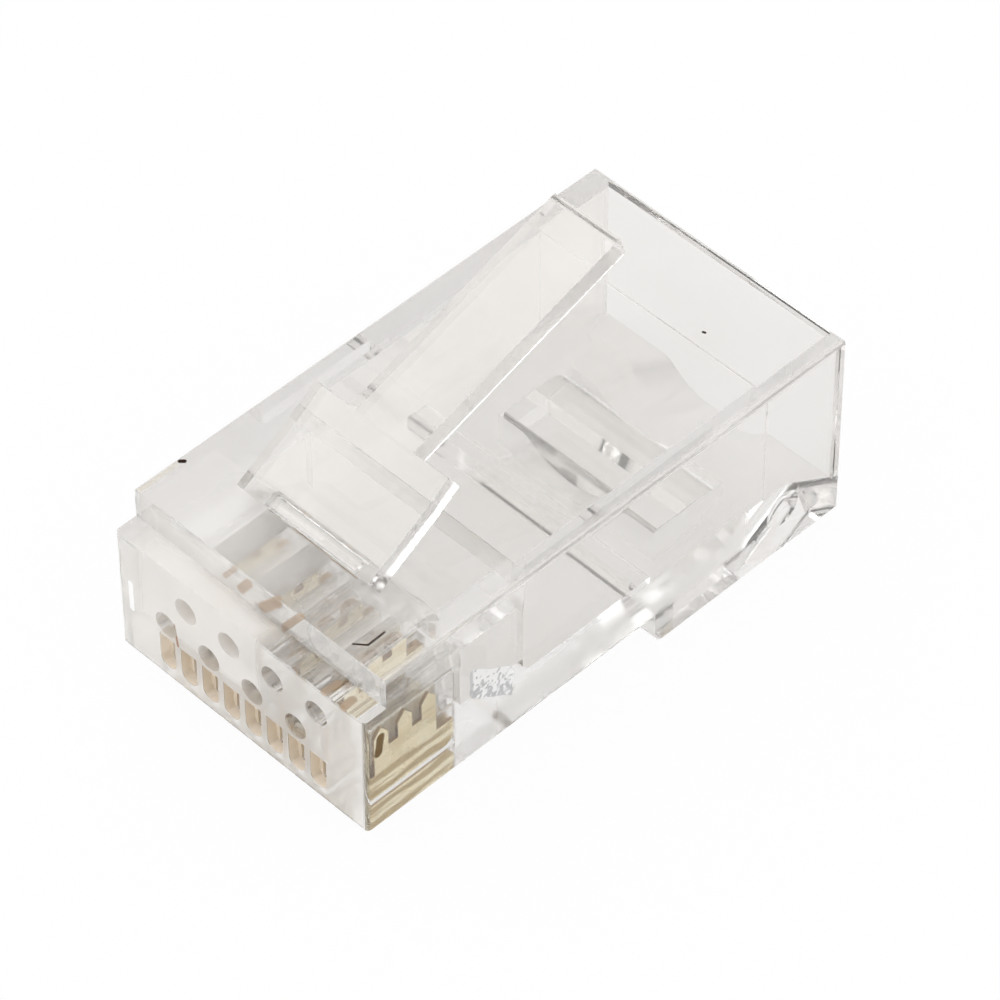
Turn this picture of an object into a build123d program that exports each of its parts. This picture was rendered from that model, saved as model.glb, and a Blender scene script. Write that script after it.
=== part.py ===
from build123d import *
from math import asin, cos, degrees, radians, sin, sqrt, tan
import os

os.makedirs("parts", exist_ok=True)

# Millimetres. X runs across the plug, Y along it with the mating face towards -Y, and Z up
# towards the latch. The origin lies under the middle of the plug, level with its underside.

# Outer body
plug_width = 11.68
plug_length = 22.05
nose_length = 13.2
nose_height = 6.6
rear_drop = 1.4
ledge_depth = 0.94
front_wall_height = 5.3
shoulder_radius = 0.4
edge_radius = 0.1
corner_radius = 0.16

# Contacts and the slots that hold them
contact_count = 8
contact_pitch = 1.02
contact_thickness = 0.35
contact_side_clearance = 0.03
contact_end_clearance = 0.07
crimp_travel = 0.55
foot_start = 0.62
foot_length = 3.95
foot_bottom = 0.15
foot_top = 1.25
foot_front_radius = 0.45
foot_rear_radius = 0.25
blade_start = 1.08
blade_length = 2.75
blade_body_height = 2.3
prong_count = 3
prong_gap = 0.42
prong_tip_height = 0.4

# Wire channels in two staggered rows, open through the front face
channel_radius = 0.5
channel_low_height = 2.5
channel_row_spacing = 1.45
channel_length = 4.75
channel_lead_in = 0.25

# Windows through the wall that closes the slots at the front, one ahead of each contact
window_width = 0.76
window_depth = 0.4
window_sill = 0.42
window_corner = 0.36

# Cable cavity
side_wall = 0.95
roof_thickness = 0.66
wire_slot_width = 8.3
wire_slot_floor = 1.85
wire_slot_height = 2.65
wire_slot_end = 7.35
wire_slot_ramp = 0.2
wire_room_floor = 1.6
cable_room_start = 13.25
cable_room_floor = 1.2
trough_radius = 3.0
trough_depth = 0.8
trough_edge_radius = 0.9
mouth_chamfer = 0.12
mouth_widening = 0.14
mouth_depth = 3.4
flare_start = 19.8
flare_angle = 31.0
flare_radius = 1.2

# Strain relief bar, hinged at its rear end in a window of the floor
bar_width = 6.6
bar_side_clearance = 0.06
bar_seat_clearance = 0.06
bar_recess = 0.8
bar_hinge_from_front = 17.35
bar_reach = 2.3
ridge_radius = 0.85
ridge_height = 0.45
ridge_from_hinge = 0.7

# Latch
latch_root_width = 4.14
latch_plate_width = 6.1
latch_tab_width = 2.95
latch_thickness = 0.9
hinge_from_front = 3.75
hinge_radius = 0.38
hinge_clearance = 0.03
hinge_sink = 0.06
plate_front_overhang = 0.85
plate_front_rise = 0.87
plate_run = 2.6
plate_angle = 30.5
shoulder_run = 0.95
shoulder_angle = 36.0
tab_angle = 18.3
tab_run = 9.3
latch_edge_radius = 0.12

# Round dimple in the right side wall, near the cable end
dimple_radius = 0.75
dimple_depth = 0.18
dimple_from_front = 19.3
dimple_height = 0.55

# Places worked out from the sizes above
front = -plug_length / 2
rear = plug_length / 2
nose_bottom = rear_drop
top = nose_bottom + nose_height
step_y = front + nose_length
ledge_z = nose_bottom + front_wall_height
cavity_half = plug_width / 2 - side_wall
trough_half = sqrt(trough_depth * (2 * trough_radius - trough_depth))
roof_z = top - roof_thickness
floor_z = nose_bottom + cable_room_floor
channel_end = front + channel_length
slot_width = contact_thickness + 2 * contact_side_clearance
slot_top = foot_top + crimp_travel + contact_end_clearance
prong_slot_start = front + blade_start - contact_end_clearance
prong_slot_length = blade_length + 2 * contact_end_clearance
slot_end = front + foot_start + foot_length + contact_end_clearance
slot_length = slot_end - front - window_depth


def contact_x(index):
    """Place across the plug of one contact, counted from 0."""
    return (index - (contact_count - 1) / 2) * contact_pitch


def is_high(index):
    """Every second wire runs in the upper row."""
    return index % 2 == 1


def channel_z(index):
    """Height of the wire channel over one contact."""
    return nose_bottom + channel_low_height + (channel_row_spacing if is_high(index) else 0)


def upright(y):
    """Plane across the plug at one place along it, facing the front."""
    return Plane.XZ.offset(-y)


def lengthwise(x):
    """Plane along the plug at one place across it, with Y to its right and Z up."""
    return Plane.YZ.offset(x)


def trough_outline(half_width, height):
    """Outline of a shallow round trough with soft edges and the room over it, from the floor up."""
    with BuildSketch(Plane.XY, mode=Mode.PRIVATE) as outline:
        with BuildLine():
            ThreePointArc((-trough_half, 0), (0, -trough_depth), (trough_half, 0))
            Polyline(
                (trough_half, 0),
                (half_width, 0),
                (half_width, height),
                (-half_width, height),
                (-half_width, 0),
                (-trough_half, 0),
            )
        make_face()
        fillet(outline.vertices().sort_by(Axis.Y)[:4].sort_by(Axis.X)[1:3], trough_edge_radius)
    return outline.sketch


# Housing: the outer block with its front ledge, deep rear part, cavities, channels and slots
high_contacts = [contact_x(i) for i in range(contact_count) if is_high(i)]
low_contacts = [contact_x(i) for i in range(contact_count) if not is_high(i)]
low_z = channel_z(0)
high_z = channel_z(1)

bar_top = floor_z
bar_bottom = bar_recess
bar_radius = (bar_top - bar_bottom) / 2
bar_seat_radius = bar_radius + bar_seat_clearance
bar_hinge_y = front + bar_hinge_from_front
bar_hinge_z = (bar_top + bar_bottom) / 2
mouth_width = 2 * (cavity_half + mouth_widening)
mouth_roof_z = roof_z + mouth_widening
flare_y = front + flare_start
flare_slope = radians(flare_angle)
flare_drop = (rear - flare_y) * tan(flare_slope)
flare_length = (rear - flare_y + trough_depth) / cos(flare_slope)
flare_facing = (0, -cos(flare_slope), sin(flare_slope))
hinge_y = front + hinge_from_front
hinge_z = top - hinge_sink

with BuildPart() as housing:
    with BuildSketch(lengthwise(0)) as side_outline:
        with BuildLine():
            Polyline(
                (front, nose_bottom),
                (step_y, nose_bottom),
                (step_y, 0),
                (rear, 0),
                (rear, top),
                (front + ledge_depth, top),
                (front + ledge_depth, ledge_z),
                (front, ledge_z),
                close=True,
            )
        make_face()
        underside_corner = side_outline.vertices().sort_by_distance((step_y, 0, 0))[0]
        fillet(underside_corner, shoulder_radius)
    extrude(amount=plug_width / 2, both=True)
    upright_corners = housing.edges().filter_by(Axis.Z).group_by(Axis.Y)
    fillet(upright_corners[0], corner_radius)
    long_edges = housing.edges().filter_by(Axis.Y).group_by(Axis.Z)
    fillet(long_edges[-1], edge_radius)

    # Flat slot that leads the wires into the channels
    with BuildSketch(lengthwise(0)):
        with Locations((channel_end, nose_bottom + wire_slot_floor)):
            Rectangle(wire_slot_end - channel_length, wire_slot_height, align=Align.MIN)
    extrude(amount=wire_slot_width / 2, both=True, mode=Mode.SUBTRACT)

    # Wire room and cable room, from the ramp at the end of the slot to the rear
    with BuildSketch(lengthwise(0)):
        with BuildLine():
            Polyline(
                (front + wire_slot_end, nose_bottom + wire_slot_floor),
                (front + wire_slot_end + wire_slot_ramp, nose_bottom + wire_room_floor),
                (front + cable_room_start, nose_bottom + wire_room_floor),
                (front + cable_room_start, floor_z),
                (rear, floor_z),
                (rear, roof_z),
                (front + wire_slot_end + wire_slot_ramp, roof_z),
                (front + wire_slot_end, nose_bottom + wire_slot_floor + wire_slot_height),
                close=True,
            )
        make_face()
    extrude(amount=cavity_half, both=True, mode=Mode.SUBTRACT)

    # Round-bottomed trough for the cable, along the cable room's floor
    with BuildSketch(upright(rear)):
        with Locations((0, floor_z)):
            add(trough_outline(cavity_half, trough_depth))
    extrude(amount=rear - front - cable_room_start, mode=Mode.SUBTRACT)

    # Wider mouth at the cable end, its floor and trough flared down to the rear
    with BuildSketch(upright(rear)):
        with Locations((0, floor_z)):
            Rectangle(mouth_width, mouth_roof_z - floor_z, align=(Align.CENTER, Align.MIN))
    extrude(amount=mouth_depth, mode=Mode.SUBTRACT)
    with BuildSketch(Plane((0, flare_y, floor_z), x_dir=(1, 0, 0), z_dir=flare_facing)):
        add(trough_outline(mouth_width / 2, flare_drop))
    extrude(amount=-flare_length, mode=Mode.SUBTRACT)
    crease = housing.edges().filter_by_position(Axis.Y, flare_y - trough_depth / 2, flare_y)
    fillet(crease, flare_radius)
    mouth_edges = housing.faces().sort_by(Axis.Y)[-1].inner_wires()[0].edges()
    chamfer(mouth_edges, mouth_chamfer)

    # Wire channels with a lead-in at their rear ends
    with BuildSketch(upright(channel_end)):
        with Locations(*[(x, high_z) for x in high_contacts], *[(x, low_z) for x in low_contacts]):
            Circle(channel_radius)
    extrude(amount=channel_length, mode=Mode.SUBTRACT)
    with BuildSketch(upright(channel_end)):
        with Locations(*[(x, high_z) for x in high_contacts], *[(x, low_z) for x in low_contacts]):
            Circle(channel_radius + channel_lead_in)
    extrude(amount=channel_lead_in, taper=45, mode=Mode.SUBTRACT)

    # Contact slots, open below, with a round-bottomed window ahead of each
    for index in range(contact_count):
        x = contact_x(index)
        with BuildSketch(upright(slot_end)):
            with Locations((x, (nose_bottom + slot_top) / 2)):
                Rectangle(slot_width, nose_bottom + slot_top)
        extrude(amount=slot_length, mode=Mode.SUBTRACT)
        with BuildSketch(upright(front + window_depth)) as window:
            with Locations((x, nose_bottom + window_sill)):
                Rectangle(window_width, slot_top - window_sill, align=(Align.CENTER, Align.MIN))
            fillet(window.vertices().group_by(Axis.Y)[0], window_corner)
        extrude(amount=window_depth, mode=Mode.SUBTRACT)
        with BuildSketch(lengthwise(x)):
            with Locations((prong_slot_start, nose_bottom)):
                Rectangle(prong_slot_length, channel_z(index) - nose_bottom, align=Align.MIN)
        extrude(amount=slot_width / 2, both=True, mode=Mode.SUBTRACT)

    # Window in the floor for the strain relief bar, with the round seat under its heel
    with BuildSketch(lengthwise(0)):
        with Locations((bar_hinge_y, bar_hinge_z)):
            Circle(bar_seat_radius)
        with Locations((bar_hinge_y, 0)):
            Rectangle(bar_reach + bar_seat_clearance, floor_z, align=(Align.MAX, Align.MIN))
        with Locations((bar_hinge_y, bar_hinge_z)):
            Rectangle(bar_seat_radius, bar_radius, align=(Align.MIN, Align.MIN))
    extrude(amount=bar_width / 2 + bar_side_clearance, both=True, mode=Mode.SUBTRACT)

    # Shallow round dimple in the right side wall
    dimple_sphere_radius = (dimple_radius**2 + dimple_depth**2) / (2 * dimple_depth)
    dimple_x = plug_width / 2 - dimple_depth + dimple_sphere_radius
    with Locations((dimple_x, front + dimple_from_front, nose_bottom + dimple_height)):
        Sphere(dimple_sphere_radius, mode=Mode.SUBTRACT)

    # Groove across the top that seats the latch's root
    with BuildSketch(lengthwise(0)):
        with Locations((hinge_y, hinge_z)):
            Circle(hinge_radius + hinge_clearance)
    extrude(amount=latch_root_width / 2 + hinge_clearance, both=True, mode=Mode.SUBTRACT)

housing.part.label = "housing"
export_step(housing.part, "parts/housing.step")

# Strain relief bar: a flat tongue with a round heel, a trough for the cable and a cross ridge
nose_angle = degrees(asin(bar_radius / bar_reach))
bar_front = bar_hinge_y - bar_reach * cos(radians(nose_angle))

with BuildPart() as strain_relief_bar:
    with BuildSketch(lengthwise(0)):
        with BuildLine():
            Line((bar_front, bar_top), (bar_hinge_y, bar_top))
            RadiusArc((bar_hinge_y, bar_top), (bar_hinge_y, bar_bottom), bar_radius)
            Line((bar_hinge_y, bar_bottom), (bar_front, bar_bottom))
            ThreePointArc(
                (bar_front, bar_bottom),
                (bar_hinge_y - bar_reach, bar_hinge_z),
                (bar_front, bar_top),
            )
        make_face()
    extrude(amount=bar_width / 2, both=True)
    with BuildSketch(upright(bar_hinge_y + bar_radius)):
        with Locations((0, floor_z)):
            add(trough_outline(cavity_half, trough_depth))
    extrude(amount=bar_reach + 2 * bar_radius, mode=Mode.SUBTRACT)
    ridge_z = floor_z - trough_depth + ridge_height - ridge_radius
    with BuildSketch(lengthwise(0)):
        with Locations((bar_hinge_y - ridge_from_hinge, ridge_z)):
            Circle(ridge_radius)
        with Locations((bar_hinge_y - ridge_from_hinge, bar_bottom)):
            Rectangle(
                2 * ridge_radius,
                bar_top - bar_bottom,
                align=(Align.CENTER, Align.MIN),
                mode=Mode.INTERSECT,
            )
    extrude(amount=trough_half, both=True)

strain_relief_bar.part.label = "strain_relief_bar"
export_step(strain_relief_bar.part, "parts/strain_relief_bar.step")

# Latch: root bead in the groove, wide plate with locking shoulders, narrow finger tab
plate_front = (hinge_y - plate_front_overhang, top + plate_front_rise - hinge_sink)
crease = (plate_front[0] + plate_run, plate_front[1] + plate_run * tan(radians(plate_angle)))
shoulder = (crease[0] + shoulder_run, crease[1] + shoulder_run * tan(radians(shoulder_angle)))
tab_end = (shoulder[0] + tab_run, shoulder[1] + tab_run * tan(radians(tab_angle)))


def below(point, angle):
    """The point on the underside of the latch, square under a point of its top."""
    return (
        point[0] + latch_thickness * sin(radians(angle)),
        point[1] - latch_thickness * cos(radians(angle)),
    )


with BuildPart() as latch_tab:
    with BuildSketch(lengthwise(0)):
        with BuildLine():
            Polyline(
                plate_front,
                crease,
                shoulder,
                below(shoulder, shoulder_angle),
                below(crease, (plate_angle + shoulder_angle) / 2),
                below(plate_front, plate_angle),
                close=True,
            )
        make_face()
    extrude(amount=latch_plate_width / 2, both=True)
    with BuildSketch(lengthwise(0)):
        with BuildLine():
            Polyline(
                shoulder,
                tab_end,
                below(tab_end, tab_angle),
                below(shoulder, tab_angle),
                below(crease, plate_angle),
                crease,
                close=True,
            )
        make_face()
    extrude(amount=latch_tab_width / 2, both=True)
    with BuildSketch(lengthwise(0)):
        with Locations((hinge_y, hinge_z)):
            Circle(hinge_radius)
    extrude(amount=latch_root_width / 2, both=True)
    tab_corners = latch_tab.edges().filter_by(GeomType.LINE).group_by(Axis.Y)[-1]
    fillet(tab_corners, latch_edge_radius)

latch_tab.part.label = "latch_tab"
export_step(latch_tab.part, "parts/latch_tab.step")

# Contacts: a foot with rounded ends and a blade whose prongs point at the wire
foot_y = front + foot_start
blade_y = front + blade_start
blade_bottom = nose_bottom + foot_bottom + foot_front_radius
prong_width = (blade_length - (prong_count - 1) * prong_gap) / prong_count

for index in range(contact_count):
    tip_z = channel_z(index) - channel_radius - contact_end_clearance
    body_z = nose_bottom + (blade_body_height if is_high(index) else foot_top)
    with BuildPart() as contact:
        with BuildSketch(lengthwise(contact_x(index))) as blade:
            with Locations((foot_y, nose_bottom + foot_bottom)):
                Rectangle(foot_length, foot_top - foot_bottom, align=Align.MIN)
            foot_corners = blade.vertices().group_by(Axis.Z)[0].sort_by(Axis.Y)
            fillet(foot_corners[0], foot_front_radius)
            fillet(foot_corners[-1], foot_rear_radius)
            with Locations((blade_y, blade_bottom)):
                Rectangle(blade_length, body_z - blade_bottom, align=Align.MIN)
            for prong in range(prong_count):
                prong_y = blade_y + prong * (prong_width + prong_gap)
                with BuildLine():
                    Polyline(
                        (prong_y, body_z),
                        (prong_y + prong_width, body_z),
                        (prong_y + prong_width, tip_z - prong_tip_height),
                        (prong_y + prong_width / 2, tip_z),
                        (prong_y, tip_z - prong_tip_height),
                        close=True,
                    )
                make_face()
        extrude(amount=contact_thickness / 2, both=True)
    contact.part.label = f"contact_{index + 1}"
    export_step(contact.part, f"parts/contact_{index + 1}.step")
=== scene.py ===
import math

import bpy
from mathutils import Matrix, Vector

# Row frame in metres: X across the plug, Y from the mating face to the cable end, Z up.
MM = 0.001
REAR_DROP = 1.4 * MM
HALF_LENGTH = 11.025 * MM

# Camera, solved from the corners of the body in the photograph
CAMERA_AZIMUTH = 45.507
CAMERA_ELEVATION = 47.176
CAMERA_ROLL = -0.285
CAMERA_DISTANCE = 189.526 * MM
CAMERA_AIM = Vector((0.0, 11.0 * MM - HALF_LENGTH, 3.0 * MM + REAR_DROP))
CAMERA_ACROSS = -0.530 * MM
CAMERA_UP = 0.109 * MM
CAMERA_CLIP = (1 * MM, 10.0)
LENS_PIXELS = 5729.3
IMAGE_PIXELS = 1000
SENSOR_WIDTH = 36.0

# Colours are linear.
WHITE = (1.0, 1.0, 1.0)

# Floor and studio. The floor glows for camera rays, and less for rays bent by the plastic.
FLOOR_SIZE = 1.2
FLOOR_GAP = 0.02 * MM
FLOOR_COLOUR = (0.90, 0.90, 0.90)
FLOOR_SHADE = (0.891, 0.891, 0.891)
FLOOR_NOISE = 40.0
FLOOR_GLOW = 0.80
FLOOR_GLOW_COLOUR = (0.855, 0.845, 0.832)
FLOOR_GLOW_SEEN = 0.96
SKY_TOP = (0.93, 0.93, 0.93)
SKY_HORIZON = (0.91, 0.90, 0.885)
SKY_TOP_HEIGHT = 0.7
KEY_DIRECTION = Vector((-0.25, -0.35, 0.9)).normalized()
KEY_EDGE = (0.8, 0.95)
KEY_STRENGTH = 0.75
BOUNCES = 12

# Clear plastic
PLASTIC_CLEAR = (0.996, 0.988, 0.979)
PLASTIC_DEEP = (0.984, 0.972, 0.958)
PLASTIC_IOR = 1.57
PLASTIC_ROUGHNESS = (0.02, 0.05)
MILK = (0.96, 0.935, 0.905)
MILK_THROUGH = 0.15
WAVE_SCALE = 260.0
SWELL_STRENGTH = 0.15
SWELL_HEIGHT = 0.04 * MM
# Share of each surface that scatters light instead of passing it
MILK_SHARE = (0.02, 0.05)
# Places that scatter more: centre and half size in mm, from the front and the nose's underside,
# then the softness of the border, the share that scatters and the roughness
MILKY_PLACES = {
    "front": ((-1.9, 0.3, 4.1), (3.1, 0.8, 2.1), 0.6, 0.90, 0.35),
    "nose_top": ((-0.3, 2.4, 6.6), (5.0, 1.6, 0.10), 0.3, 0.42, 0.12),
    "front_face": ((0.0, 0.0, 2.6), (5.7, 0.10, 2.6), 0.1, 0.60, 0.15),
    "upper_left": ((-2.4, 2.0, 4.0), (2.6, 2.0, 0.75), 0.1, 0.85, 0.30),
    "channels": ((0.9, 2.5, 3.4), (2.7, 2.35, 1.9), 0.1, 0.30, 0.15),
    "low_side": ((5.84, 11.6, 0.9), (0.3, 6.0, 1.1), 0.25, 0.30, 0.15),
    "top_edge": ((5.84, 11.5, 6.6), (0.2, 11.5, 0.2), 0.1, 0.45, 0.30),
}
# Places where inner surfaces hardly bend the light: centre, half size, softness and share
FAINT_PLACES = {
    "channels": ((2.3, 2.9, 3.6), (2.4, 2.0, 1.9), 0.15, 0.65),
    "lower_left": ((-2.4, 2.9, 2.4), (2.3, 2.0, 0.75), 0.15, 0.75),
    "slots": ((0.0, 2.6, 1.2), (4.4, 2.1, 0.9), 0.15, 0.35),
    "last_slot": ((3.775, 2.6, 1.8), (0.05, 2.3, 1.75), 0.02, 0.75),
    "slot_end": ((0.0, 7.45, 5.2), (4.86, 0.5, 0.7), 0.1, 0.70),
}
# The walls of the windows through the front, in a row: across, along and up
WINDOW_COUNT = 8
WINDOW_PITCH = 1.02 * MM
WINDOW_HALF = (0.40 * MM, 0.24 * MM, 0.76 * MM)
WINDOW_CENTRE = (0.0, 0.27, 1.15)
# Beige painted on the window walls: a painted reflection of the gold contacts inside
WINDOW_PAINTED_REFLECTION = (0.95, 0.85, 0.71)
WINDOW_SHARE = 0.85
# The last slot's inner wall carries a painted reflection of the gold in front of it: centre, half
# size in mm, softness
MIRRORED = ((3.365, 2.7, 2.6), (0.03, 2.3, 0.9), 0.02)
MIRRORED_GOLD = (0.90, 0.82, 0.62)
MIRRORED_SHARE = 0.7

# Marks on the surface, dirt and painted light: start, end and radius in mm, colour and share
HAIR = (0.035, 0.02, 0.015)
# Brown for a painted shadow line at the latch's root and painted images of the contacts
PAINTED_BROWN = (0.45, 0.33, 0.23)
# Red-brown for painted shade on a channel's rim
PAINTED_RIM_SHADE = (0.36, 0.20, 0.13)
# Dark bronze for the painted image of the last contact's end
PAINTED_END_IMAGE = (0.13, 0.07, 0.02)
MARKS = (
    # A hair on the top, a painted shadow line along the latch's root and two specks
    ((3.99, 1.31, 6.6), (4.35, 1.61, 6.6), 0.035, HAIR, 1.0),
    ((4.35, 1.61, 6.6), (4.33, 2.34, 6.6), 0.04, HAIR, 0.9),
    ((-0.9, 3.37, 6.6), (2.06, 3.33, 6.6), 0.025, PAINTED_BROWN, 0.9),
    ((2.22, 19.03, 6.6), (2.28, 19.05, 6.6), 0.05, HAIR, 1.0),
    ((-5.68, 2.79, 6.6), (-5.58, 2.89, 6.6), 0.08, HAIR, 1.0),
    # Painted shade on the rim of an upper channel as a red line, and a painted highlight as a
    # white mark, on the front
    ((-3.17, 0.0, 2.81), (-3.04, 0.0, 1.89), 0.05, PAINTED_RIM_SHADE, 0.9),
    ((-5.25, 0.0, 3.2), (-5.25, 0.0, 2.0), 0.11, WHITE, 0.95),
    # Painted images of the contacts, refracted in the step and the ledge
    ((-1.60, 0.94, 5.7), (-1.05, 0.94, 6.5), 0.10, PAINTED_BROWN, 0.5),
    ((-0.85, 0.94, 5.65), (-0.42, 0.94, 6.30), 0.17, PAINTED_BROWN, 0.6),
    ((0.15, 0.94, 5.55), (0.92, 0.94, 6.45), 0.20, PAINTED_BROWN, 0.7),
    ((1.15, 0.94, 5.4), (1.98, 0.94, 6.6), 0.13, PAINTED_BROWN, 0.7),
    ((3.95, 0.0, 5.3), (3.99, 0.61, 5.3), 0.14, PAINTED_BROWN, 0.7),
    ((4.85, 0.0, 5.3), (4.82, 0.43, 5.3), 0.16, PAINTED_BROWN, 0.8),
    # A painted image of the last contact's dark end, seen through the right side
    ((5.84, 0.66, 4.15), (5.84, 0.55, 3.45), 0.17, PAINTED_END_IMAGE, 0.9),
)
# The border of a mark, in radii
MARK_EDGE = (0.8, 1.2)
# The faces that carry marks, in mm: the right side and how far back, the front, the top's two
# bounds, and the ledge with the step
SIDE_START = 5.83
SIDE_END = 7.0
FRONT_END = 0.01
ROOF_BOUNDS = (6.58, 6.62)
LEDGE_BOUNDS = (0.96, 5.28)

# The rough gate mark on the right side, a slanting box with a dark lower part and front edge
GATE_CENTRE = (5.84, 5.6, 2.78)
GATE_HALF = (0.4, 0.98, 0.72)
GATE_SLANT = 0.72
GATE_ROUND = 0.25
GATE_BORDER = 0.9
GATE_WAVER = 0.08 * MM
GATE_CLOUD = 700.0
GATE_GRAIN = 5600.0
GATE_LOW = (-0.6 * MM, 0.5 * MM, 0.12, -0.10)
GATE_DARK_GRAIN = (0.50, 0.60)
GATE_EDGE = (-0.88 * MM, -0.80 * MM, 0.8)
GATE_DARK = (0.46, 0.46, 0.48)
GATE_LIGHT = (0.95, 0.95, 0.95)
GATE_SHARE = 0.75

# Gold contacts, with streaks on the feet and brown sheared edges, their brown partly painted shade
GOLD_LIGHT = (1.0, 0.93, 0.70)
GOLD_DEEP = (0.94, 0.80, 0.50)
GOLD_PATCHES = 900.0
GOLD_ROUGHNESS = (0.16, 0.34)
GOLD_STREAK = (0.50, 0.38, 0.18)
STREAK_SCALE = 2600.0
STREAK_STRETCH = (1.0, 0.12, 1.0)
STREAK_HEIGHTS = (1.2, 1.3)
STREAK_ABOVE = 0.25
SHEARED_EDGE_AND_SHADE = (0.52, 0.36, 0.19)


def in_row(place):
    """A place in mm from the front and the nose's underside, as a place in the row frame."""
    return Vector((place[0] * MM, place[1] * MM - HALF_LENGTH, place[2] * MM + REAR_DROP))


def add(tree, kind, inputs, operation=None):
    """A new node. Each input, by name or number, is a constant or a socket to link."""
    node = tree.nodes.new(kind)
    if operation:
        node.operation = operation
    for place, value in inputs.items():
        if isinstance(value, bpy.types.NodeSocket):
            tree.links.new(value, node.inputs[place])
        else:
            node.inputs[place].default_value = value
    return node


def math_node(tree, operation, *values):
    """A math node on sockets or numbers."""
    return add(tree, "ShaderNodeMath", dict(enumerate(values)), operation).outputs["Value"]


def vector_node(tree, operation, *values, out="Vector"):
    """A vector math node on sockets or vectors."""
    return add(tree, "ShaderNodeVectorMath", dict(enumerate(values)), operation).outputs[out]


def axes(tree, vector):
    """The X, Y and Z of a vector."""
    node = add(tree, "ShaderNodeSeparateXYZ", {0: vector})
    return [node.outputs[axis] for axis in "XYZ"]


def map_range(tree, value, low, high, to_low, to_high):
    """Maps a value from one range to another, clamped."""
    inputs = {"Value": value, "From Min": low, "From Max": high}
    inputs |= {"To Min": to_low, "To Max": to_high}
    return add(tree, "ShaderNodeMapRange", inputs).outputs["Result"]


def noise(tree, coordinates, scale, detail):
    """A noise texture, scale in features per metre."""
    inputs = {"Vector": coordinates, "Scale": scale, "Detail": detail}
    return add(tree, "ShaderNodeTexNoise", inputs).outputs["Fac"]


def blend(tree, share, first, second):
    """A colour that goes from the first to the second with the share."""
    first, second = ((*c, 1) if isinstance(c, tuple) else c for c in (first, second))
    inputs = {"Fac": share, "Color1": first, "Color2": second}
    return add(tree, "ShaderNodeMixRGB", inputs).outputs["Color"]


def blend_shaders(tree, share, first, second):
    """A shader that goes from the first to the second with the share."""
    inputs = {0: share, 1: first, 2: second}
    return add(tree, "ShaderNodeMixShader", inputs).outputs["Shader"]


def object_coordinates(tree):
    """The object coordinates, which are the row frame on every CAD piece."""
    return tree.nodes.new("ShaderNodeTexCoord").outputs["Object"]


def new_material(name):
    """An empty node material, with its tree."""
    material = bpy.data.materials.new(name)
    material.use_nodes = True
    material.node_tree.nodes.clear()
    return material, material.node_tree


def patch(tree, coordinates, centre, half, softness, breakup):
    """1 inside a soft-edged box in mm, 0 outside, its border broken up by noise."""
    border = 2 * softness * MM
    offset = vector_node(tree, "SUBTRACT", coordinates, in_row(centre))
    offset = vector_node(tree, "ABSOLUTE", offset)
    across, along, up = axes(tree, vector_node(tree, "SUBTRACT", offset, Vector(half) * MM))
    reach = math_node(tree, "MAXIMUM", across, along)
    reach = math_node(tree, "MAXIMUM", reach, up)
    reach = math_node(tree, "MULTIPLY_ADD", breakup, border, reach)
    return map_range(tree, reach, 0.0, border, 1.0, 0.0)


def windows(tree, coordinates):
    """1 on the walls inside the row of windows in the front face, else 0."""
    centre = in_row(WINDOW_CENTRE)
    across, along, up = axes(tree, coordinates)
    side = math_node(tree, "PINGPONG", across, WINDOW_PITCH / 2)
    side = math_node(tree, "SUBTRACT", WINDOW_PITCH / 2, side)
    inside = math_node(tree, "LESS_THAN", side, WINDOW_HALF[0])
    along = math_node(tree, "SUBTRACT", along, centre.y)
    up = math_node(tree, "SUBTRACT", up, centre.z)
    row_half = WINDOW_COUNT / 2 * WINDOW_PITCH
    for offset, half in ((along, WINDOW_HALF[1]), (up, WINDOW_HALF[2]), (across, row_half)):
        size = math_node(tree, "ABSOLUTE", offset)
        inside = math_node(tree, "MULTIPLY", inside, math_node(tree, "LESS_THAN", size, half))
    return inside


def stroke(tree, coordinates, start, end, radius, share):
    """The share within a radius in mm of the line between two places, else 0."""
    start, run = in_row(start), in_row(end) - in_row(start)
    offset = vector_node(tree, "SUBTRACT", coordinates, start)
    along = vector_node(tree, "DOT_PRODUCT", offset, run / run.length_squared, out="Value")
    held = map_range(tree, along, 0.0, 1.0, 0.0, 1.0)
    inputs = {0: run, "Scale": held}
    nearest = add(tree, "ShaderNodeVectorMath", inputs, "SCALE").outputs["Vector"]
    gap = vector_node(tree, "DISTANCE", offset, nearest, out="Value")
    near, far = (edge * radius * MM for edge in MARK_EDGE)
    return map_range(tree, gap, near, far, share, 0.0)


def gate_mark(tree, coordinates):
    """Where the gate mark is, and how dark it is there, on its own slanting axes."""
    cloud = noise(tree, coordinates, GATE_CLOUD, 1.0)
    grain = noise(tree, coordinates, GATE_GRAIN, 2.0)
    offset = vector_node(tree, "SUBTRACT", coordinates, in_row(GATE_CENTRE))
    across, along, up = axes(tree, offset)
    up = math_node(tree, "MULTIPLY_ADD", along, GATE_SLANT, up)
    total = None
    for value, half in zip((across, along, up), GATE_HALF):
        part = math_node(tree, "ABSOLUTE", value)
        part = math_node(tree, "SUBTRACT", part, (half - GATE_ROUND) * MM)
        part = math_node(tree, "MAXIMUM", part, 0.0)
        part = math_node(tree, "MULTIPLY", part, part)
        total = part if total is None else math_node(tree, "ADD", total, part)
    waver = map_range(tree, cloud, 0.3, 0.7, -GATE_WAVER, GATE_WAVER)
    reach = math_node(tree, "ADD", math_node(tree, "SQRT", total), waver)
    rim = GATE_ROUND * MM
    inside = map_range(tree, reach, GATE_BORDER * rim, rim, 1.0, 0.0)
    level = math_node(tree, "ADD", grain, map_range(tree, up, *GATE_LOW))
    dark = map_range(tree, level, *GATE_DARK_GRAIN, 0.0, 1.0)
    edge = map_range(tree, along, *GATE_EDGE, 0.0)
    return inside, math_node(tree, "MAXIMUM", dark, edge)


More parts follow.
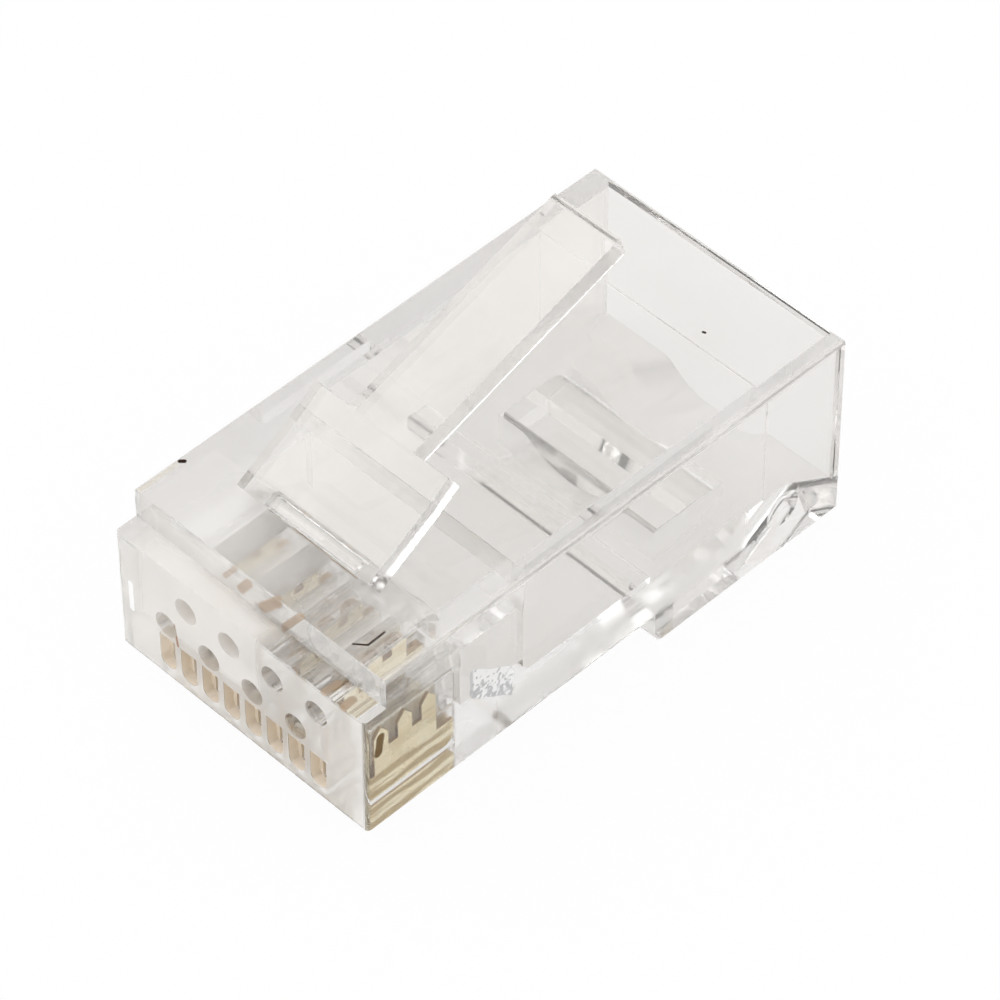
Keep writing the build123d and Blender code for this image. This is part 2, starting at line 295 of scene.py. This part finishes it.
def outer_faces(tree, coordinates):
    """1 on the nose's front, ledge, step and top and on the right side of it, else 0."""
    across, along, up = axes(tree, coordinates)
    side = math_node(tree, "GREATER_THAN", across, SIDE_START * MM)
    near = math_node(tree, "LESS_THAN", along, in_row((0, SIDE_END, 0)).y)
    front = math_node(tree, "LESS_THAN", along, in_row((0, FRONT_END, 0)).y)
    low, high = (in_row((0, 0, bound)).z for bound in ROOF_BOUNDS)
    above = math_node(tree, "GREATER_THAN", up, low)
    below = math_node(tree, "LESS_THAN", up, high)
    ledge = in_row((0, *LEDGE_BOUNDS))
    step = math_node(tree, "GREATER_THAN", up, ledge.z)
    before = math_node(tree, "LESS_THAN", along, ledge.y)
    place = math_node(tree, "MULTIPLY_ADD", side, near, front)
    place = math_node(tree, "MULTIPLY_ADD", above, below, place)
    place = math_node(tree, "MULTIPLY_ADD", step, before, place)
    return math_node(tree, "MINIMUM", place, 1.0)


def milky_plastic(tree, looks):
    """Refraction mixed with a share of scattering, from the sockets in looks."""
    inputs = {"Transmission Weight": 1.0, "IOR": PLASTIC_IOR}
    inputs |= {"Base Color": looks["tint"], "Roughness": looks["roughness"]}
    inputs["Normal"] = looks["normal"]
    clear = add(tree, "ShaderNodeBsdfPrincipled", inputs).outputs["BSDF"]
    milk_and_painted_reflection = {"Color": looks["milk_and_painted_reflection"]}
    scattering = add(tree, "ShaderNodeBsdfDiffuse", milk_and_painted_reflection).outputs["BSDF"]
    passing = add(tree, "ShaderNodeBsdfTranslucent", milk_and_painted_reflection).outputs["BSDF"]
    body = blend_shaders(tree, MILK_THROUGH, scattering, passing)
    return blend_shaders(tree, looks["share"], clear, body)


def marked_surface(tree, coordinates, looks):
    """The plastic, with the gate mark and the small marks over it on the outer faces: a hair and
    specks of dirt, painted shade, a painted highlight and painted images of the contacts.

    Each side of the last mix has its own plastic, so that Cycles skips the marks where there
    are none.
    """
    gate, gate_dark = gate_mark(tree, coordinates)
    share = math_node(tree, "MULTIPLY", gate, GATE_SHARE)
    colour = blend(tree, gate_dark, GATE_LIGHT, GATE_DARK)
    for *line, mark_colour, mark_share in MARKS:
        mark = stroke(tree, coordinates, *line, mark_share)
        share = math_node(tree, "MAXIMUM", share, mark)
        colour = blend(tree, math_node(tree, "GREATER_THAN", mark, 0.0), colour, mark_colour)
    paint = add(tree, "ShaderNodeBsdfDiffuse", {"Color": colour}).outputs["BSDF"]
    painted = blend_shaders(tree, share, milky_plastic(tree, looks), paint)
    return blend_shaders(
        tree, outer_faces(tree, coordinates), milky_plastic(tree, looks), painted
    )


def clear_plastic(name):
    """Moulded clear plastic: slightly uneven surfaces, milky and satin where the mould is matt,
    with painted reflections of the gold on the window walls and the last slot's wall.
    """
    material, tree = new_material(name)
    coordinates = object_coordinates(tree)
    wave = noise(tree, coordinates, WAVE_SCALE, 1.0)
    rough = map_range(tree, wave, 0.35, 0.7, *PLASTIC_ROUGHNESS)
    share = map_range(tree, wave, 0.3, 0.7, *MILK_SHARE)
    for *box, milk_share, roughness in MILKY_PLACES.values():
        place = patch(tree, coordinates, *box, wave)
        share = math_node(tree, "MAXIMUM", share, math_node(tree, "MULTIPLY", place, milk_share))
        rough = math_node(tree, "MAXIMUM", rough, math_node(tree, "MULTIPLY", place, roughness))
    window = windows(tree, coordinates)
    mirrored = patch(tree, coordinates, *MIRRORED, wave)
    for place, most in ((window, WINDOW_SHARE), (mirrored, MIRRORED_SHARE)):
        share = math_node(tree, "MAXIMUM", share, math_node(tree, "MULTIPLY", place, most))
    # The window walls get a painted reflection of the gold, in beige
    milk_and_painted_reflection = blend(tree, window, MILK, WINDOW_PAINTED_REFLECTION)
    swell = {"Strength": SWELL_STRENGTH, "Distance": SWELL_HEIGHT, "Height": wave}
    deep = map_range(tree, wave, 0.3, 0.75, 0.0, 1.0)
    looks = {
        "tint": blend(tree, deep, PLASTIC_CLEAR, PLASTIC_DEEP),
        "roughness": rough,
        "normal": add(tree, "ShaderNodeBump", swell).outputs["Normal"],
        # The last slot's inner wall gets a painted reflection of the gold
        "milk_and_painted_reflection": blend(tree, mirrored, milk_and_painted_reflection, MIRRORED_GOLD),
        "share": share,
    }
    marked = marked_surface(tree, coordinates, looks)

    faint = 0.0
    for *box, through in FAINT_PLACES.values():
        place = math_node(tree, "MULTIPLY", patch(tree, coordinates, *box, wave), through)
        faint = math_node(tree, "MAXIMUM", place, faint)
    solid = math_node(tree, "SUBTRACT", 1.0, math_node(tree, "MAXIMUM", window, mirrored))
    faint = math_node(tree, "MULTIPLY", faint, solid)
    straight = tree.nodes.new("ShaderNodeBsdfTransparent").outputs["BSDF"]
    surface = blend_shaders(tree, faint, marked, straight)
    add(tree, "ShaderNodeOutputMaterial", {"Surface": surface})
    return material


def gold(name):
    """Gold plating, streaked on the feet and brown on the sheared edges, the brown partly painted
    shade.
    """
    material, tree = new_material(name)
    coordinates = object_coordinates(tree)
    patches = noise(tree, coordinates, GOLD_PATCHES, 4.0)
    deep = map_range(tree, patches, 0.35, 0.75, 0.0, 1.0)
    colour = blend(tree, deep, GOLD_LIGHT, GOLD_DEEP)

    drawn = vector_node(tree, "MULTIPLY", coordinates, STREAK_STRETCH)
    streaks = noise(tree, drawn, STREAK_SCALE, 2.0)
    streaks = map_range(tree, streaks, 0.45, 0.6, 0.0, 1.0)
    heights = (in_row((0, 0, height)).z for height in STREAK_HEIGHTS)
    low = map_range(tree, axes(tree, coordinates)[2], *heights, 1.0, STREAK_ABOVE)
    streaks = math_node(tree, "MULTIPLY", streaks, low)
    colour = blend(tree, streaks, colour, GOLD_STREAK)

    # Faces not facing across are brown: the sheared edges, darkened also as painted shade
    normal = tree.nodes.new("ShaderNodeTexCoord").outputs["Normal"]
    flat = math_node(tree, "ABSOLUTE", axes(tree, normal)[0])
    flat = map_range(tree, flat, 0.4, 0.6, 0.0, 1.0)
    colour = blend(tree, flat, SHEARED_EDGE_AND_SHADE, colour)

    roughness = map_range(tree, patches, 0.3, 0.7, *GOLD_ROUGHNESS)
    inputs = {"Metallic": 1.0, "Base Color": colour, "Roughness": roughness}
    surface = add(tree, "ShaderNodeBsdfPrincipled", inputs).outputs["BSDF"]
    add(tree, "ShaderNodeOutputMaterial", {"Surface": surface})
    return material


def floor_material(name):
    """Plain pale floor that keeps the shadow and shows as white around it."""
    material, tree = new_material(name)
    speckle = noise(tree, object_coordinates(tree), FLOOR_NOISE, 3.0)
    colour = {"Color": blend(tree, speckle, FLOOR_COLOUR, FLOOR_SHADE)}
    shader = add(tree, "ShaderNodeBsdfDiffuse", colour).outputs["BSDF"]
    path = tree.nodes.new("ShaderNodeLightPath").outputs
    bent = math_node(tree, "MAXIMUM", path["Is Glossy Ray"], path["Is Transmission Ray"])
    bent = math_node(tree, "MULTIPLY", bent, FLOOR_GLOW)
    seen = math_node(tree, "MULTIPLY", path["Is Camera Ray"], FLOOR_GLOW_SEEN)
    share = math_node(tree, "MAXIMUM", bent, seen)
    glow = {"Color": blend(tree, path["Is Camera Ray"], FLOOR_GLOW_COLOUR, WHITE)}
    glow = add(tree, "ShaderNodeEmission", glow).outputs["Emission"]
    surface = blend_shaders(tree, share, shader, glow)
    add(tree, "ShaderNodeOutputMaterial", {"Surface": surface})
    return material


def build_world(name):
    """Soft studio with a wide key light overhead, white for camera rays."""
    world = bpy.data.worlds.new(name)
    world.use_nodes = True
    tree = world.node_tree
    tree.nodes.clear()
    direction = tree.nodes.new("ShaderNodeTexCoord").outputs["Generated"]
    height = map_range(tree, axes(tree, direction)[2], 0.0, SKY_TOP_HEIGHT, 0.0, 1.0)
    sky = {"Color": blend(tree, height, SKY_HORIZON, SKY_TOP)}
    sky = add(tree, "ShaderNodeBackground", sky).outputs["Background"]
    facing = vector_node(tree, "DOT_PRODUCT", direction, KEY_DIRECTION, out="Value")
    strength = map_range(tree, facing, *KEY_EDGE, 0.0, KEY_STRENGTH)
    key = {"Color": (*WHITE, 1), "Strength": strength}
    key = add(tree, "ShaderNodeBackground", key).outputs["Background"]
    lit = add(tree, "ShaderNodeAddShader", {0: sky, 1: key}).outputs["Shader"]
    plain = {"Color": (*WHITE, 1)}
    plain = add(tree, "ShaderNodeBackground", plain).outputs["Background"]
    camera_ray = tree.nodes.new("ShaderNodeLightPath").outputs["Is Camera Ray"]
    surface = blend_shaders(tree, camera_ray, lit, plain)
    add(tree, "ShaderNodeOutputWorld", {"Surface": surface})
    return world


def build_camera(name):
    """The photograph's camera."""
    azimuth, elevation = math.radians(CAMERA_AZIMUTH), math.radians(CAMERA_ELEVATION)
    toward = Vector(
        (
            math.sin(azimuth) * math.cos(elevation),
            -math.cos(azimuth) * math.cos(elevation),
            math.sin(elevation),
        )
    )
    right = Vector((math.cos(azimuth), math.sin(azimuth), 0))
    up = toward.cross(right)
    roll = math.radians(CAMERA_ROLL)
    right, up = (
        math.cos(roll) * right + math.sin(roll) * up,
        math.cos(roll) * up - math.sin(roll) * right,
    )
    data = bpy.data.cameras.new(name)
    data.sensor_width = SENSOR_WIDTH
    data.lens = LENS_PIXELS / IMAGE_PIXELS * SENSOR_WIDTH
    data.clip_start, data.clip_end = CAMERA_CLIP
    camera = bpy.data.objects.new(name, data)
    bpy.context.collection.objects.link(camera)
    place = CAMERA_AIM + toward * CAMERA_DISTANCE - right * CAMERA_ACROSS - up * CAMERA_UP
    turn = Matrix((right, up, toward)).transposed().to_4x4()
    camera.matrix_world = Matrix.Translation(place) @ turn
    return camera


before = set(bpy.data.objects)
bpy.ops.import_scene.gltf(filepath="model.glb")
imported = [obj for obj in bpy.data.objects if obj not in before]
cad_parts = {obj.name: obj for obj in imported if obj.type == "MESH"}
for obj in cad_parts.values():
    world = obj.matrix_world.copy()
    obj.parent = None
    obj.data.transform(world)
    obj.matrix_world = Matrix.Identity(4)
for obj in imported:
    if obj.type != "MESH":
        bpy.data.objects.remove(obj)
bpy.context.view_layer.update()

plastic = clear_plastic("clear_plastic")
metal = gold("gold_contact")
for node_name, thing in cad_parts.items():
    thing.data.materials.clear()
    thing.data.materials.append(metal if node_name.startswith("contact_") else plastic)

bpy.ops.mesh.primitive_plane_add(size=FLOOR_SIZE, location=(0, 0, -FLOOR_GAP))
floor = bpy.context.object
floor.name = "floor"
floor.data.materials.append(floor_material("floor"))

# Light, camera and light paths
scene = bpy.context.scene
scene.world = build_world("studio")
scene.camera = build_camera("camera")
scene.view_settings.view_transform = "Standard"
scene.cycles.max_bounces = BOUNCES
scene.cycles.transmission_bounces = BOUNCES
scene.cycles.glossy_bounces = BOUNCES
scene.cycles.transparent_max_bounces = BOUNCES
scene.cycles.diffuse_bounces = BOUNCES
